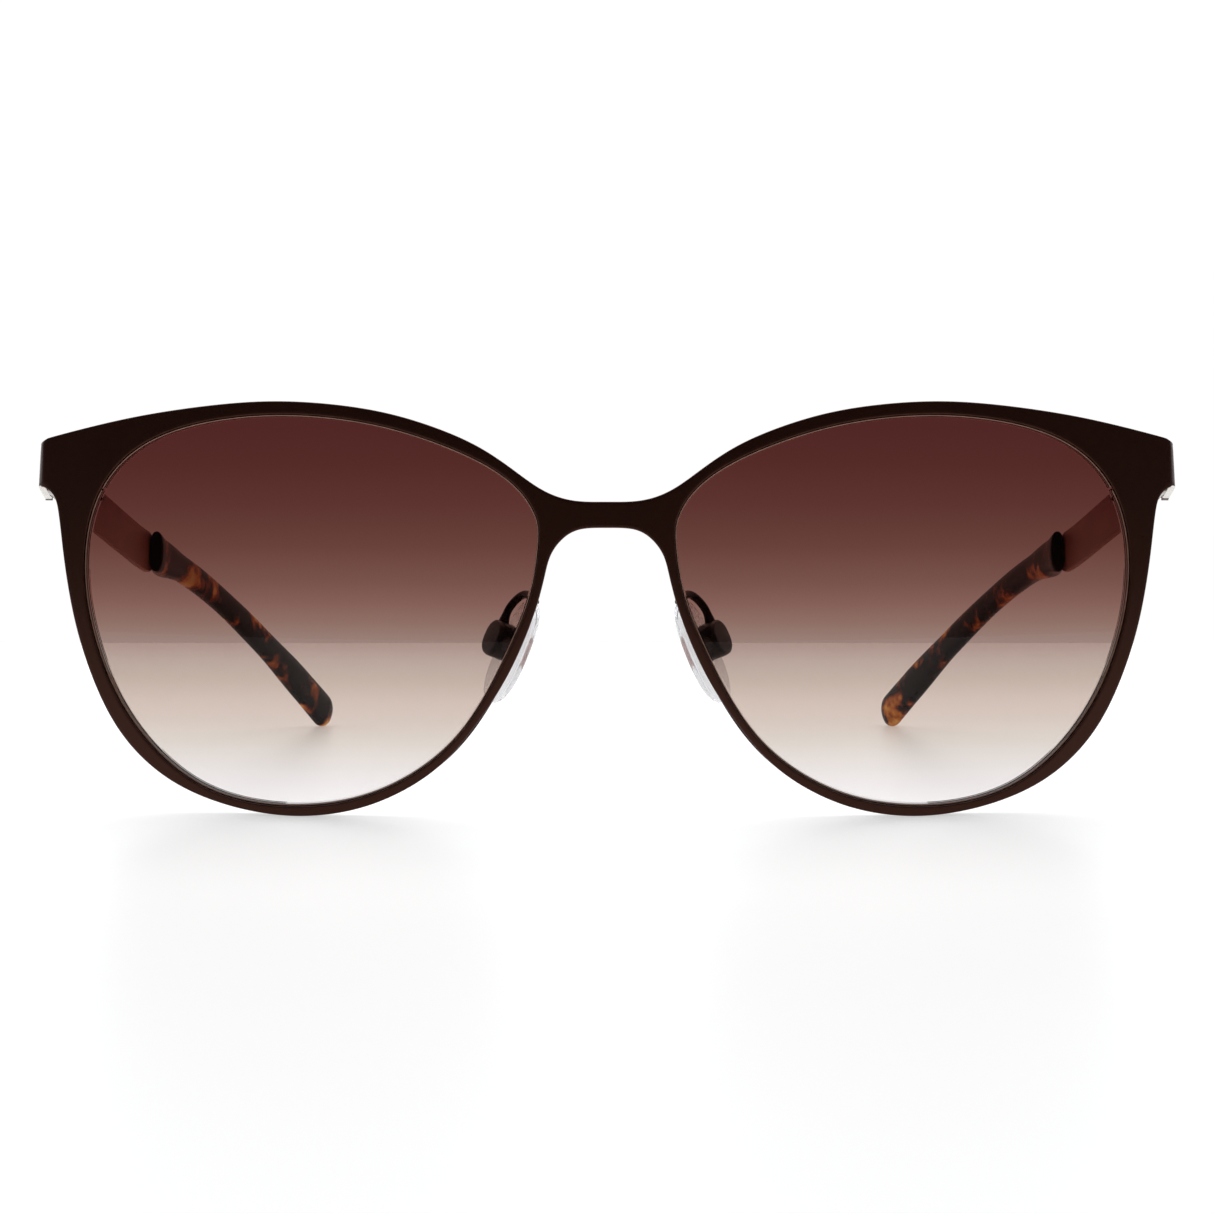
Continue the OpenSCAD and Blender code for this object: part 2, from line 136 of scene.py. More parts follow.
# Upper and lower edge of the endpiece in the front's flat pattern
FLAT_TOP = [[69.8, 46.2], [71.2, 45.6], [73.4, 44.8]]
FLAT_LOW = [[73, 39.45], [71.3, 40.1], [70.2, 40.3]]
OPENING = [[8.2, 33], [8.5, 36.5], [10.6, 39.8], [14.6, 42.8], [20.2, 45.35], [26.7, 47.4],
           [33.8, 48.65], [41, 49], [48, 48.4], [54.3, 46.8], [59.3, 43.9], [62.7, 39.6],
           [64.4, 34], [64.5, 27.5], [63.1, 20.8], [60.3, 14.1], [55.8, 8], [50, 3.6],
           [43.5, 1.55], [37, 1.2], [30.5, 2.2], [24.4, 4.75], [19, 8.9], [14.8, 14.6],
           [11.6, 20.9], [9.2, 27]]
ARM_ROUTE = [[8.6, 3.1, 26.2], [8.9, 4.3, 26.5], [9.5, 6.4, 26.9], [10.4, 8.1, 26.9],
             [11.5, 8.8, 26], [12.3, 8.6, 24.8], [12.8, 8.3, 23.3]]
ARM_RADII = [(0, 0.38), (0.25, WIRE_R), (0.85, WIRE_R), (1, 0.7)]
# The arm's foot, brazed along the eyewire
FOOT_ROUTE = [[8.9, 3.5, 26.5], [9.5, 3.5, 25.2], [10.15, 3.5, 23.9], [10.8, 3.5, 22.7]]
FOOT_RADII = [(0, 0.3), (0.3, 0.5), (1, 0.25)]

# --- Frames that the pieces are placed in, taken from the joints ---------------------------

HINGE_AT = np.array(JOINTS["temple_right_fold"]["pos_m"]) / MM
DROOP = math.atan2(*JOINTS["temple_right_fold"]["axis"][1:])
HINGE_AXES = np.array([[1, 0, 0], [0, math.cos(DROOP), -math.sin(DROOP)],
                       [0, math.sin(DROOP), math.cos(DROOP)]])
FRONT_Y = HINGE_AT[1] - HINGE_Y
PAD_Y = np.array(JOINTS["pad_right_rock"]["axis"])
PAD_Z = np.array([math.sin(PAD_FRONTAL), 0, math.cos(PAD_FRONTAL)])
PAD_AXES = np.array([np.cross(PAD_Y, PAD_Z), PAD_Y, PAD_Z])
PAD_AT = np.array(JOINTS["pad_right_rock"]["pos_m"]) / MM - np.array(PAD_PIVOT) @ PAD_AXES


def in_row(p):
    """Points measured from the front's nearest point, in the row's frame."""
    return np.asarray(p, float) + [0, FRONT_Y, 0]


def in_hinge(p):
    """Points in the hinge's axes: X out, Y along the temple, Z along the screw."""
    return HINGE_AT + np.asarray(p, float) @ HINGE_AXES


def in_pad(p):
    """Points in the pad's axes: X from the nose to the lens, Y across the pad, Z along it."""
    return PAD_AT + np.asarray(p, float) @ PAD_AXES


# --- Curves and outlines --------------------------------------------------------------------


def spline(points, closed=False, steps=8):
    """The uniform cubic curve that passes through the points."""
    p = np.array(points, float)
    n = len(p)
    matrix = 4 * np.eye(n)
    for i in range(n):
        if closed or 0 < i < n - 1:
            matrix[i, (i - 1) % n] += 1
            matrix[i, (i + 1) % n] += 1
        else:
            matrix[i, i] = 6
    c = np.linalg.solve(matrix, 6 * p)
    if closed:
        c = np.vstack([c[-1], c, c[0], c[1]])
    else:
        c = np.vstack([2 * c[0] - c[1], c, 2 * c[-1] - c[-2]])
    t = np.arange(steps)[:, None] / steps
    weights = [(1 - t) ** 3, 3 * t ** 3 - 6 * t ** 2 + 4,
               -3 * t ** 3 + 3 * t ** 2 + 3 * t + 1, t ** 3]
    spans = [sum(w * q for w, q in zip(weights, c[i:i + 4])) / 6 for i in range(len(c) - 3)]
    curve = np.vstack(spans)
    return curve if closed else np.vstack([curve, p[-1]])


def even(curve, gap, closed=False):
    """The same line with its points about gap apart."""
    line = np.vstack([curve, curve[:1]]) if closed else curve
    along = np.concatenate([[0], np.cumsum(np.linalg.norm(np.diff(line, axis=0), axis=1))])
    count = max(3, int(round(along[-1] / gap)))
    at = np.linspace(0, along[-1], count + 1)[:count if closed else None]
    return np.stack([np.interp(at, along, line[:, k]) for k in range(line.shape[1])], 1)


def grow(loop, d):
    """A closed outline moved outwards by d."""
    after = np.roll(loop, -1, 0)
    way = after - np.roll(loop, 1, 0)
    way /= np.linalg.norm(way, axis=1)[:, None]
    turn = np.sum(loop[:, 0] * after[:, 1] - after[:, 0] * loop[:, 1])
    out = np.stack([-way[:, 1], way[:, 0]], 1)
    return loop + (d if turn < 0 else -d) * out


def inside(points, loop):
    """Which points are inside a closed outline."""
    a, b = loop, np.roll(loop, -1, 0)
    x, y = points[:, :1], points[:, 1:]
    spans = (a[:, 1] > y) != (b[:, 1] > y)
    run = (b[:, 0] - a[:, 0]) / np.where(b[:, 1] == a[:, 1], 1, b[:, 1] - a[:, 1])
    return (spans & (x < a[:, 0] + run * (y - a[:, 1]))).sum(1) % 2 == 1


def smooth(k):
    """An eased step from 0 to 1."""
    k = np.clip(k, 0, 1)
    return k * k * (3 - 2 * k)


def table(rows, s):
    """The value at s of a table of stations and values, with eased steps between them."""
    for (s0, v0), (s1, v1) in zip(rows, rows[1:]):
        if s <= s1:
            return v0 + (v1 - v0) * float(smooth((s - s0) / (s1 - s0)))
    return rows[-1][1]


def circle(r, count=40):
    a = np.linspace(0, 2 * math.pi, count, endpoint=False)
    return np.stack([r * np.cos(a), r * np.sin(a)], 1)


def rounded(x0, y0, x1, y1, r):
    """Outline of a rectangle with round corners."""
    quarter = math.pi / 2
    turn = np.linspace(0, quarter, 5)
    corners = [(x1 - r, y1 - r, 0), (x0 + r, y1 - r, 1), (x0 + r, y0 + r, 2), (x1 - r, y0 + r, 3)]
    return np.array([[x + r * math.cos(a + q * quarter), y + r * math.sin(a + q * quarter)]
                     for x, y, q in corners for a in turn])


def front_y(x, z, d):
    """Y of the curved layer that lies d behind the front's outer surface."""
    return FRONT_Y + WRAP_R - np.sqrt((WRAP_R - d) ** 2 - x ** 2 - (z - WRAP_Z) ** 2)


def on_front(loop, d):
    """An outline in X and Z, laid on the layer at depth d."""
    return np.stack([loop[:, 0], front_y(loop[:, 0], loop[:, 1], d), loop[:, 1]], 1)


def fold(loop, d):
    """An outline in the front's flat pattern, laid on the sphere and folded back at both ends."""
    u, z = loop[:, 0], loop[:, 1]
    x = np.minimum(np.abs(u), FOLD_X)
    angle = np.arcsin(x / np.sqrt(WRAP_R ** 2 - (z - WRAP_Z) ** 2))
    turn = np.minimum((np.abs(u) - x) / FOLD_R, math.pi / 2 - angle)
    heading = angle + turn
    folded_x = x + FOLD_R * (np.sin(heading) - np.sin(angle)) - d * np.sin(heading)
    folded_y = front_y(x, z, 0) - FOLD_R * (np.cos(heading) - np.cos(angle)) + d * np.cos(heading)
    folded_y += np.abs(u) - x - turn * FOLD_R
    share = smooth((np.abs(u) - BLEND_X) / BLEND_L)
    out_x = share * folded_x + (1 - share) * x
    out_x += FLARE * smooth((np.abs(u) - FOLD_X) / FLARE_L) * (FLARE_Z - z)
    out_y = share * folded_y + (1 - share) * front_y(x, z, d)
    return np.stack([np.sign(u) * out_x, out_y, z], 1)


def flat_corner(height):
    """Corner of the endpiece's rear edge in the flat pattern, at a height in the hinge's axes."""
    _, y, z = in_hinge([0, -TURN_GAP, height])
    angle = math.asin(FOLD_X / math.sqrt(WRAP_R ** 2 - (z - WRAP_Z) ** 2))
    start = front_y(FOLD_X, z, 0) + FOLD_R * math.cos(angle)
    return [FOLD_X + (math.pi / 2 - angle) * FOLD_R + y - start, z]


# --- Shapes -----------------------------------------------------------------------------------


class Shape:
    """Points in millimetres, faces with a material number, and how much each point is an edge: worn
    edges, on the eyewire's lip also a painted highlight, and on the tip's front face painted shade.
    """

    def __init__(self):
        self.points, self.faces, self.paints, self.edges = [], [], [], []

    def add(self, points, faces, paint=0, edge=0.0):
        base = len(self.points)
        points = np.asarray(points, float).reshape(-1, 3)
        self.points.extend(points.tolist())
        self.faces.extend([[base + i for i in face] for face in faces])
        self.paints.extend(np.broadcast_to(paint, len(faces)).tolist())
        self.edges.extend(np.broadcast_to(edge, len(points)).tolist())

    def loft(self, rings, paint=0, edge=0.0, caps=True):
        """A skin over rings of the same number of points."""
        rings = np.asarray(rings, float)
        n, m = rings.shape[:2]
        faces = [[i * m + j, i * m + (j + 1) % m, (i + 1) * m + (j + 1) % m, (i + 1) * m + j]
                 for i in range(n - 1) for j in range(m)]
        if caps:
            faces += [list(range(m)), list(range((n - 1) * m, n * m))]
        self.add(rings, faces, paint, np.repeat(edge, m) if np.ndim(edge) else edge)

    def prism(self, outline, h0, h1, bevel, place):
        """An outline drawn out from h0 to h1, with round edges at both ends."""
        steps = [(bevel * (1 - math.sin(a)), bevel * (1 - math.cos(a)))
                 for a in np.linspace(0, math.pi / 2, 4)]
        levels = [(i, h0 + h) for i, h in steps] + [(i, h1 - h) for i, h in reversed(steps)]
        rings = [place(np.column_stack([grow(outline, -i), np.full(len(outline), h)]))
                 for i, h in levels]
        self.loft(rings, edge=np.array([0.3, 1, 1, 0.3, 0.3, 1, 1, 0.3]))

    def turned(self, profile, place, count=40):
        """A turned part: a profile of radius and height."""
        rings = [place(np.column_stack([circle(max(r, 0.01), count), np.full(count, h)]))
                 for r, h in profile]
        self.loft(rings)

    def slotted(self, r, gap, h0, h1, bevel, place):
        """A disc cut by a slot, as two round halves."""
        start = math.asin(gap / 2 / r)
        arc = np.linspace(start, math.pi - start, 22)
        half = even(np.stack([r * np.cos(arc), r * np.sin(arc)], 1), r / 9, closed=True)
        self.prism(half, h0, h1, bevel, place)
        self.prism(half * [1, -1], h0, h1, bevel, place)

    def object(self, name, sign, paints, sharp):
        """The shape as a Blender object in metres, mirrored for the left side."""
        mesh = bpy.data.meshes.new(name)
        points = np.array(self.points) * MM * [sign, 1, 1]
        mesh.from_pydata(points.tolist(), [], self.faces)
        # edge weights: wear on edges, a painted highlight on the eyewire's lip, painted shade on the
        # tip's front face
        mesh.attributes.new("edge", "FLOAT", "POINT").data.foreach_set("value", self.edges)
        mesh.polygons.foreach_set("material_index", self.paints)
        for paint in paints:
            mesh.materials.append(paint)
        made = bmesh.new()
        made.from_mesh(mesh)
        bmesh.ops.remove_doubles(made, verts=made.verts, dist=1e-7)
        bmesh.ops.dissolve_degenerate(made, edges=made.edges, dist=1e-7)
        bmesh.ops.recalc_face_normals(made, faces=made.faces)
        made.to_mesh(mesh)
        made.free()
        mesh.polygons.foreach_set("use_smooth", [True] * len(mesh.polygons))
        mesh.set_sharp_from_angle(angle=math.radians(sharp))
        piece = bpy.data.objects.new(name, mesh)
        bpy.context.scene.collection.objects.link(piece)
        normals = piece.modifiers.new("normals", "WEIGHTED_NORMAL")
        normals.keep_sharp = True
        normals.weight = 80     # over 50, so large faces count for more
        return piece


def swapped(place, order):
    """A placing function that takes its three coordinates in another order."""
    return lambda p: place(np.asarray(p)[:, order])


# --- Front ------------------------------------------------------------------------------------

OPENING_LOOP = even(spline(OPENING, closed=True, steps=12), 0.4, closed=True)
OUTLINE_GAP = 0.3       # between the points of the front's own outline
HEM = 0.45              # a row of points this far inside each outline keeps the shading even
HEM_END = FOLD_X - 0.6  # and stops short of the folds
CLEAR = 0.8             # least distance from the outlines to the points spread between them
CLEAR_FOLD = 0.3        # and past the folds
ENDPIECE_MORE = 0.2     # how far the endpiece's rear edge passes the hinge above and below


def plate_outline():
    """The whole front in its flat pattern, clockwise from the left end of the brow."""
    top = BROW[1:] + FLAT_TOP + [flat_corner(HINGE_H / 2 + ENDPIECE_MORE)]
    low = [flat_corner(-HINGE_H / 2 - ENDPIECE_MORE)] + FLAT_LOW + RIM
    brow = spline([[-x, z] for x, z in top[::-1]] + BROW[:1] + top)
    rim = spline(low + [[-x, z] for x, z in low[-2::-1]])
    return np.vstack([even(brow, OUTLINE_GAP), even(rim, OUTLINE_GAP)])


def plate_grid(loops):
    """Points for the front's faces, spread between the outlines and closer together at the folds."""
    columns = np.concatenate([np.arange(0.6, FOLD_X - 0.5, 1.2), np.arange(FOLD_X - 0.4, 76, 0.2)])
    rows = np.arange(0.5, 51, 0.9)
    grid = np.array([[side * u, z] for side in (-1, 1) for u in columns for z in rows])
    line = np.vstack(loops)
    gaps = np.array([np.min(np.hypot(*(line - g).T)) for g in grid])
    clear = gaps > np.where(np.abs(grid[:, 0]) > HEM_END, CLEAR_FOLD, CLEAR)
    return grid[clear & within(grid, loops)]


def within(points, loops):
    """Which points are on the front: inside its outline and outside both openings."""
    return inside(points, loops[0]) & ~inside(points, loops[1]) & ~inside(points, loops[2])


def plate(shape):
    """Sheet metal front: two curved faces and a rounded edge along every outline."""
    loops = [plate_outline(), OPENING_LOOP, OPENING_LOOP[::-1] * [-1, 1]]
    ways = [-1, 1, 1]
    inner = [grow(loop, way * PLATE_BEVEL) for loop, way in zip(loops, ways)]
    hems = [grow(loop, way * HEM) for loop, way in zip(loops, ways)]
    hems = [hem[np.abs(hem[:, 0]) < HEM_END] for hem in hems]
    points = np.vstack(inner + hems + [plate_grid(loops)])
    edges, base = [], 0
    for loop in inner:
        edges += [(base + i, base + (i + 1) % len(loop)) for i in range(len(loop))]
        base += len(loop)
    flat, _, faces, *_ = delaunay_2d_cdt([tuple(p) for p in points], edges, [], 0, 1e-5)
    flat = np.array([tuple(p) for p in flat])
    solid = within(flat[np.array(faces)].mean(1), inner)
    faces = [face for face, kept in zip(faces, solid) if kept]
    shape.add(fold(flat, 0), faces)
    shape.add(fold(flat, PLATE_T), faces)
    corner = [(PLATE_BEVEL * (1 - math.sin(a)), PLATE_BEVEL * (1 - math.cos(a)))
              for a in np.linspace(0, math.pi / 2, 4)]
    levels = corner + [(i, PLATE_T - d) for i, d in corner[::-1]]
    for loop, way in zip(loops, ways):
        rings = [fold(grow(loop, way * i), d) for i, d in levels]
        out = np.abs(loop[:, 0])
        bare = (out > BARE_X[0]) & (out < BARE_X[1]) & (loop[:, 1] < BARE_TOP)
        shape.loft(rings, paint=np.tile(bare.astype(int), len(levels) - 1), caps=False,
                   edge=np.array([0.2, 1, 1, 0.6, 0.6, 1, 1, 0.2]))


def eyewire(shape):
    """Grooved rim behind the plate, split under the endpiece, with a lug on each side of the split."""
    loop, after = OPENING_LOOP, np.roll(OPENING_LOOP, -1, 0)
    split = (loop[:, 0] > SPLIT_SIDE) & (loop[:, 1] > SPLIT_Z) & (after[:, 1] <= SPLIT_Z)
    line = np.roll(loop, -int(np.argmax(split)) - 1, 0)
    lip = PLATE_T - LIP_D
    seat = PLATE_T + SOLDER
    back = PLATE_T + EYEWIRE_D
    # Each point of the section: its distance outside the opening, and its depth
    profile = [(-LIP_W, lip + 0.14), (-LIP_W, lip + 0.1), (-LIP_W + 0.05, lip + 0.02),
               (-LIP_W + 0.1, lip), (-SOLDER, lip + 0.08),
               (-SOLDER, seat), (EYEWIRE_W - 0.2, seat),
               (EYEWIRE_W - 0.06, seat + 0.06), (EYEWIRE_W, seat + 0.2),
               (EYEWIRE_W, back - 0.6), (EYEWIRE_W - 0.1, back - 0.3), (EYEWIRE_W - 0.3, back - 0.1),
               (EYEWIRE_W - 0.6, back), (0.2, back), (0, back - 0.05), (-LIP_W + 0.05, back - 0.15),
               (-LIP_W, back - 0.3), (-LIP_W, GROOVE_D + TONGUE_T), (TONGUE_W, GROOVE_D + TONGUE_T),
               (TONGUE_W, GROOVE_D), (-LIP_W, GROOVE_D)]
    # share of the worn colour at each point of the section: most on the lip, where it is wear and a
    # painted highlight along the lip
    worn_and_highlight = [0, 0.7, 1, 1, 0.5] + [0.0] * (len(profile) - 5)
    rows = np.array([on_front(grow(line, gap), d) for gap, d in profile])
    shape.loft(rows.transpose(1, 0, 2))
    shape.edges = np.tile(worn_and_highlight, len(line)).tolist()
    x, y = LUG_AT
    lug = rounded(LUG_IN, y - LUG_W / 2, x + LUG_OUT, y + LUG_W / 2, 0.5)
    for low in (SPLIT_Z - SPLIT_GAP / 2 - LUG_H, SPLIT_Z + SPLIT_GAP / 2):
        shape.prism(lug, low, low + LUG_H, 0.15, in_row)


def closing_screw(shape):
    """Screw through both lugs, with its slotted head below them."""
    low = SPLIT_Z - SPLIT_GAP / 2 - LUG_H
    place = lambda p: in_row(np.asarray(p) + [*LUG_AT, 0])
    shape.turned([(0.6, low + 3.3), (0.6, low), (1.05, low), (1.1, low - 0.1), (1.1, low - 0.35)], place)
    shape.slotted(1.1, 0.3, low - 0.6, low - 0.3, 0.08, place)


def lens(shape):
    """Curved lens with a tongue around its edge."""
    middle = OPENING_LOOP.mean(0)
    edge = -LIP_W - 0.04
    bevel = 0.08
    body = grow(OPENING_LOOP, edge - bevel)
    shares = [0.002] + [k / 14 for k in range(1, 14)] + [0.985, 1]
    front = [on_front(middle + (body - middle) * k, LENS_D) for k in shares]
    rear = [on_front(middle + (body - middle) * k, LENS_D + LENS_T) for k in shares[::-1]]
    rim = [(edge, LENS_D + bevel), (edge, GROOVE_D), (TONGUE_W, GROOVE_D),
           (TONGUE_W, GROOVE_D + TONGUE_T), (edge, GROOVE_D + TONGUE_T),
           (edge, LENS_D + LENS_T - bevel)]
    shape.loft(front + [on_front(grow(OPENING_LOOP, gap), d) for gap, d in rim] + rear)


# --- Nose pads ----------------------------------------------------------------------------------


def wire(shape, route, radii):
    """A wire along a smooth route, with a radius for each share of its length."""
    line = even(spline(route), 0.3)
    way = np.gradient(line, axis=0)
    way /= np.linalg.norm(way, axis=1)[:, None]
    u = np.cross(way, [0.9, -0.1, -0.4])
    u /= np.linalg.norm(u, axis=1)[:, None]
    v = np.cross(way, u)
    turn = circle(1, 20)
    shape.loft([in_row(p + table(radii, i / (len(line) - 1)) * (turn[:, :1] * a + turn[:, 1:] * b))
                for i, (p, a, b) in enumerate(zip(line, u, v))])


def pad_arm(shape):
    """Bent wire from the eyewire to the pad box, thicker at the box, and its foot on the eyewire."""
    wire(shape, ARM_ROUTE, ARM_RADII)
    wire(shape, FOOT_ROUTE, FOOT_RADII)


def at_lug(p):
    """Points in the pad's axes, measured from its back at the height of the pad screw."""
    return in_pad(p + [0, 0, PAD_PIVOT[2]])


def pad_box(shape):
    """Cup with soft corners that holds the pad's lug, open towards the pad through an oval mouth."""
    count = 56
    turn = circle(1, count)
    square = np.sign(turn) * np.abs(turn) ** 0.8
    oval = np.sign(turn) * np.abs(turn) ** 0.5
    # Radius and distance from the pad, from the middle of the hollow's end round to the cup's end
    hollow = [(0.02, 2.7), (BOX_HOLLOW_R - 0.1, 2.7), (BOX_HOLLOW_R, 2.6), (BOX_HOLLOW_R, 0.8)]
    mouth = [(MOUTH_R, 0.7), (MOUTH_R, 0.42), (MOUTH_R + 0.06, 0.36)]
    skin = [(1.6, 0.36), (2, 0.5), (2.2, 0.65), (BOX_R, 0.85), (BOX_R, 2.6), (BOX_R - 0.08, 2.85),
            (BOX_R - 0.3, 3.04), (BOX_R - 0.6, 3.1)]
    rings = [(turn * r, h) for r, h in hollow]
    rings += [(oval * [r, MOUTH_SHAPE * r], h) for r, h in mouth]
    rings += [(square * r, h) for r, h in skin]
    rings += [(turn * 0.02, 3.1)]
    place = swapped(at_lug, [2, 1, 0])
    shape.loft([place(np.column_stack([ring, np.full(count, h)])) for ring, h in rings])


def pad_screw(shape):
    """Screw through the box and the lug, with a slotted head."""
    place = swapped(lambda p: in_pad(p + PAD_PIVOT), [0, 2, 1])
    profile = [(0.4, 2.2), (0.5, 2.15), (0.5, -2.15), (0.78, -2.18), (0.8, -2.25), (0.8, -2.4)]
    shape.turned(profile, place, count=32)
    shape.slotted(0.8, 0.24, -2.6, -2.38, 0.07, place)


def pad_insert(shape):
    """Hard core of the pad: a round plate and the lug that turns on the pad screw."""
    shape.turned([(1.2, -0.3), (1.3, -0.24), (1.3, -0.06), (1.22, 0)], swapped(at_lug, [2, 1, 0]))
    r = 0.8
    arc = np.linspace(-math.pi / 2, math.pi / 2, 16)
    end = [[PAD_PIVOT[0] + r * math.cos(a), r * math.sin(a)] for a in arc]
    lug = even(np.array([[-0.05, -r]] + end + [[-0.05, r]]), 0.16, closed=True)
    shape.prism(lug, -0.5, 0.5, 0.1, swapped(at_lug, [0, 2, 1]))


def nose_pad(shape):
    """Soft pad: an egg-shaped cushion, crowned towards the nose, with a thin rim at its back."""
    rings = []
    for angle in np.linspace(-89, 89, 61):
        h = math.sin(math.radians(angle))
        half = PAD_W / 2 * math.sqrt(1 - abs(h) ** PAD_FULL) * (1 - PAD_TAPER * h)
        crown = PAD_T * math.sqrt(math.cos(math.radians(angle)))
        ring = []
        for b in np.linspace(0, 2 * math.pi, 56, endpoint=False):
            x = crown * (PAD_BACK if math.cos(b) > 0 else 1) * math.cos(b)
            ring.append([x, half * math.sin(b), PAD_L / 2 * h])
        rings.append(in_pad(ring))
    shape.loft(rings)


# --- Hinges -------------------------------------------------------------------------------------


def knuckle(side):
    """Outline of a knuckle and its arm to the leaf, on the front's side, -1, or the temple's, 1."""
    around = np.linspace(math.radians(-15), math.radians(270), 34)
    points = [[KNUCKLE_R * math.cos(a), KNUCKLE_R * math.sin(a)] for a in around]
    points += [[LEAF_X, -KNUCKLE_R], [LEAF_X, -0.35]]
    return even(np.array(points), 0.2, closed=True) * [1, -side]


def leaf(shape, outline, bevel):
    """A flat of the leaves' thickness, against the inner face of the bar or the endpiece."""
    shape.prism(outline, LEAF_X - LEAF_T, LEAF_X, bevel, swapped(in_hinge, [2, 0, 1]))


def front_hinge(shape):
    """Two knuckles and a leaf on the inner face of the folded endpiece."""
    for low in (-HINGE_H / 2, KNUCKLE_MID / 2 + TURN_GAP):
        high = low + HINGE_H / 2 - KNUCKLE_MID / 2 - TURN_GAP
        shape.prism(knuckle(-1), low, high, 0.12, in_hinge)
        leaf(shape, rounded(-2.2, low, -0.4, high, 0.1), 0.08)
    leaf(shape, rounded(-4.2, -HINGE_H / 2, -KNUCKLE_R - 0.1, HINGE_H / 2, 0.4), 0.12)


def temple_hinge(shape):
    """The middle knuckle and a leaf on the inner face of the temple bar."""
    shape.prism(knuckle(1), -KNUCKLE_MID / 2, KNUCKLE_MID / 2, 0.12, in_hinge)
    leaf(shape, rounded(0.8, -KNUCKLE_MID / 2, 2.5, KNUCKLE_MID / 2, 0.1), 0.08)
    leaf(shape, rounded(1.7, -2.1, 6.5, 2.1, 0.7), 0.14)


def hinge_screw(shape):
    """Screw that the temple turns on, with its slotted head on top."""
    top = HINGE_H / 2
    head_r = 1.15
    shape.turned([(0.55, -top), (0.68, -top + 0.1), (0.68, top), (head_r - 0.05, top),
                  (head_r, top + 0.08), (head_r, top + 0.25)], in_hinge)
    shape.slotted(head_r, 0.3, top + 0.22, top + 0.5, 0.1, in_hinge)


# --- Temples ------------------------------------------------------------------------------------


def path(s):
    """Middle of the temple at distance s behind the hinge."""
    x = LEAF_X + BAR_T / 2 - max(0, s - LEAN_START) ** 2 / LEAN
    return np.array([x, s, -DROP * max(0, s - DROP_START) ** 2])


def across(s):
    """Directions at s: along the temple, sideways and upwards."""
    way = path(s + 0.1) - path(s - 0.1)
    way /= np.linalg.norm(way)
    side = np.cross(way, [0, 0, 1])
    side /= np.linalg.norm(side)
    return way, side, np.cross(side, way)


def temple_ring(s, outline, shift=0.0, along=0.0):
    """An outline across the temple at s, moved towards the head by shift and back by along."""
    way, side, up = across(s)
    return in_hinge(path(s) + way * along + (outline[:, :1] - shift) * side + outline[:, 1:] * up)


def temple_bar(shape):
    """Flat bar with soft edges and a round end, and the thinner core that runs on inside the tip."""
    heights = [(0, 4.6), (25, 6.1), (TIP_START, 6.2)]
    lifts = [(0, 0.3), (20, 0.45), (TIP_START, 0)]
    round_l, round_half = 3, 1.5     # the round end's length, and what each side loses over it
    ends = [TURN_GAP, TURN_GAP + 0.06, TURN_GAP + 0.2]
    stations = np.concatenate([ends, np.arange(1.5, TIP_START, 1.5)])
    rings = []
    for s, inset in zip(stations, [0.2, 0.06] + [0.0] * len(stations)):
        half = table(heights, s) / 2 - inset
        thick = BAR_T / 2 - inset
        lift = table(lifts, s)
        rings.append(temple_ring(s, rounded(-thick, lift - half, thick, lift + half, 0.24)))
    for k in np.linspace(0, 1, 9):
        half = CORE_H / 2 + round_half * math.sqrt(1 - k * k)
        outline = rounded(-BAR_T / 2, -half, BAR_T / 2, half, 0.24)
        rings.append(temple_ring(TIP_START + round_l * k, outline))
    for s in np.arange(TIP_START + 4, CORE_END - 1, 4):
        half = table([(TIP_START, CORE_H / 2), (CORE_END, CORE_END_H / 2)], s)
        rings.append(temple_ring(s, rounded(-0.44, -half, 0.44, half, 0.2)))
    shape.loft(rings)


def temple_tip(shape):
    """Acetate tip: a flat oval face in front, a narrow neck, and a round paddle at the end."""
    heights = [(TIP_START, 6.2), (66, 5.8), (78, 4.3), (94, 4.3), (110, 4.8), (124, 5.9),
               (TIP_END, 6.1)]
    widths = [(TIP_START, 2.1), (67, 3.4), (78, 2.9), (96, 2.5), (112, 2.5), (124, 2.8),
              (TIP_END, 2.8)]
    turn = circle(1, 48)
    round_box = np.sign(turn) * np.abs(turn) ** 0.85
    stations = [(TIP_START, 0.4), (TIP_START + 0.04, 0.2), (TIP_START + 0.14, 0.07), (TIP_START + 0.3, 0)]
    stations += [(s, 0) for s in np.append(np.arange(TIP_START + 1, TIP_END, 1), TIP_END)]
    rings, painted_shade = [], []
    for s, inset in stations:
        half = np.array([table(widths, s) / 2 - inset, table(heights, s) / 2 - inset])
        rings.append(temple_ring(s, round_box * half, table(TIP_SHIFT, s)))
        # painted shade on the tip's front face: full over the first millimetre, fading out over the next
        painted_shade.append(1.0 if s < TIP_START + 1 else max(0.0, 1 - (s - TIP_START) / 2))
    for a in np.radians(np.arange(8, 89, 8)):
        half = math.cos(a) * np.array([table(widths, TIP_END), table(heights, TIP_END)]) / 2
        rings.append(temple_ring(TIP_END, round_box * half, TIP_SHIFT[-1][1], TIP_ROUND * math.sin(a)))
        painted_shade.append(0.0)
    shape.loft(rings, edge=np.array(painted_shade))


# --- Materials ------------------------------------------------------------------------------------


